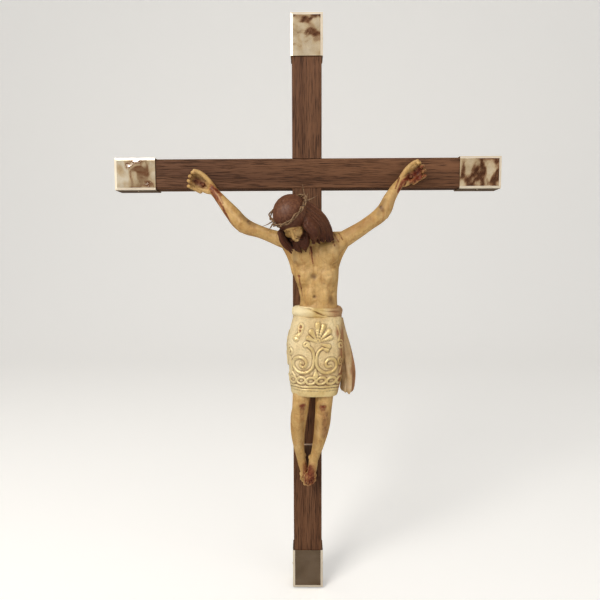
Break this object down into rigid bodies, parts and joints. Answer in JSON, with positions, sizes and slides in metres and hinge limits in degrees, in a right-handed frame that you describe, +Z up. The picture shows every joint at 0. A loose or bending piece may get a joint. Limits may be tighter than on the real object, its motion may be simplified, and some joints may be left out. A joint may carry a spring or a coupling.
{
  "type": "wall crucifix",
  "caption": "Wall crucifix: dark hardwood cross with folded silver end caps, a doweled painted figure with a gilded loincloth and twisted thorn crown, and a swinging hanging ring behind.",
  "frame": {"origin": "where the centre lines of the two bars cross, on the plane of the back that lies against the wall", "axes": "+Z up along the upright, +X to the right for a viewer in front, +Y out of the back towards the wall; the figure faces -Y"},
  "size_m": [0.394, 0.0977, 0.6],
  "materials": {
    "dark_hardwood": "dark open-pored hardwood, waxed",
    "silver_sheet": "hand-polished silver sheet, slightly wavy",
    "steel": "plain steel",
    "iron_nail": "dark iron",
    "brass_wire": "dulled brass wire",
    "painted_carving": "carved wood, oil painted and varnished",
    "gilded_cloth": "glue-stiffened cloth, gilded, with raised cord relief",
    "crown_twig": "bare twig",
    "beech_dowel": "bare beech",
    "stained_block": "stained wood"
  },
  "bodies": {
    "cross": {"upright_post": "dark_hardwood", "crossbeam": "dark_hardwood", "top_cap": "silver_sheet", "bottom_cap": "silver_sheet", "left_cap": "silver_sheet", "right_cap": "silver_sheet", "cap_pins": "silver_sheet", "lap_screws": "steel", "corpus_screw": "steel", "left_hand_nail": "iron_nail", "right_hand_nail": "iron_nail", "foot_nail": "iron_nail", "hanger_eye": "brass_wire", "torso": "painted_carving", "left_arm": "painted_carving", "right_arm": "painted_carving", "left_leg": "painted_carving", "right_leg": "painted_carving", "head": "painted_carving", "loincloth": "gilded_cloth", "girdle": "gilded_cloth", "side_fold": "gilded_cloth", "crown_stem_a": "crown_twig", "crown_stem_b": "crown_twig", "shoulder_dowels": "beech_dowel", "neck_dowel": "beech_dowel", "hip_dowels": "beech_dowel", "foot_block": "stained_block"},
    "ring": {"hanger_ring": "brass_wire"}
  },
  "joints": [
    {"name": "ring_swing", "type": "hinge", "parent": "cross", "child": "ring", "pos_m": [0, -0.0036, 0.082], "axis": [1, 0, 0], "range_deg": [0, 180]}
  ]
}
